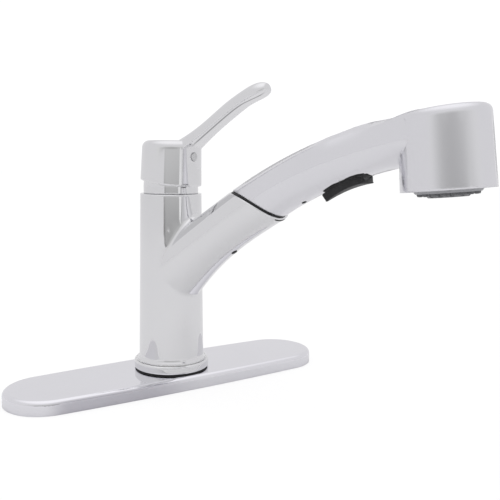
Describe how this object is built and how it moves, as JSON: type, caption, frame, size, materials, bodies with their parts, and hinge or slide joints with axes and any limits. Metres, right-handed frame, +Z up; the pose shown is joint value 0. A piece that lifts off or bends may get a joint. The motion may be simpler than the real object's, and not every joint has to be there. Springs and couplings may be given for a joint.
{
  "type": "pull-out kitchen faucet",
  "caption": "Single-lever kitchen faucet on a long deck plate, with a swivelling column and a pull-out spray wand docked in its angled branch.",
  "frame": {"origin": "on the column's axis, in the plane of the counter top under the deck plate", "axes": "+Z up along the column, X along the deck plate, the user on the -Y side"},
  "size_m": [0.26, 0.2655, 0.282],
  "materials": {
    "chrome": "polished",
    "wand_chrome": "polished plating on a plastic wand",
    "grey_plastic": "satin",
    "aerator_plastic": "satin",
    "black_rubber": "matte",
    "white_plastic": "satin",
    "brass": "machined",
    "steel": "machined",
    "black_plastic": "satin",
    "button_plastic": "satin, soft edges",
    "index_plastic": "bright grey, no marking",
    "braid": "woven braid",
    "copper": "drawn copper tube",
    "ceramic": "lapped ceramic"
  },
  "bodies": {
    "base": {"deck_plate": "chrome", "underplate": "grey_plastic", "base_gasket": "black_rubber", "base_ring": "chrome", "glide_washer": "white_plastic", "shank": "brass", "swivel_seal_lower": "black_rubber", "swivel_seal_upper": "black_rubber"},
    "clamp_nut": {"mounting_washer": "steel", "mounting_nut": "black_plastic"},
    "spout": {"column": "chrome", "dock_sleeve": "black_plastic", "hose": "braid", "hot_tube": "copper", "cold_tube": "copper", "outlet_tube": "copper", "valve_block": "brass", "cartridge": "white_plastic", "cartridge_nut": "brass", "fixed_disc": "ceramic", "dome_cap": "chrome"},
    "carrier": {"stem_carrier": "white_plastic", "pivot_pin": "steel"},
    "lever": {"lever_stem": "brass", "lever_handle": "chrome", "set_screw": "steel", "index_plug": "index_plastic"},
    "slider": {"moving_disc": "ceramic"},
    "wand": {"wand_shell": "wand_chrome", "wand_tail": "black_plastic", "hose_ferrule": "steel", "spray_face": "grey_plastic", "aerator": "aerator_plastic", "button_pin": "steel"},
    "button": {"spray_button": "button_plastic"}
  },
  "joints": [
    {"name": "spout_swivel", "type": "hinge", "parent": "base", "child": "spout", "pos_m": [0, 0, 0.04], "axis": [0, 0, 1], "range_deg": [-80, 40]},
    {"name": "lever_turn", "type": "hinge", "parent": "spout", "child": "carrier", "pos_m": [0, 0, 0.152], "axis": [0, 0, 1], "range_deg": [-45, 45]},
    {"name": "lever_lift", "type": "hinge", "parent": "carrier", "child": "lever", "pos_m": [0, 0, 0.152], "axis": [-0.9397, -0.342, 0], "range_deg": [0, 22]},
    {"name": "disc_slide", "type": "slide", "parent": "carrier", "child": "slider", "axis": [0.342, -0.9397, 0], "range_m": [0, 0.0075]},
    {"name": "wand_pull", "type": "slide", "parent": "spout", "child": "wand", "axis": [0.2819, -0.7744, 0.5664], "range_m": [0, 0.45], "deforming": ["hose"]},
    {"name": "button_rock", "type": "hinge", "parent": "wand", "child": "button", "pos_m": [0.05158, -0.14172, 0.1613], "axis": [0.9397, 0.342, 0], "range_deg": [-3, 3]},
    {"name": "nut_travel", "type": "slide", "parent": "base", "child": "clamp_nut", "axis": [0, 0, -1], "range_m": [0, 0.075]}
  ],
  "couplings": [
    {"joint": "disc_slide", "follows": "lever_lift", "m_per_rad": 0.0178}
  ]
}
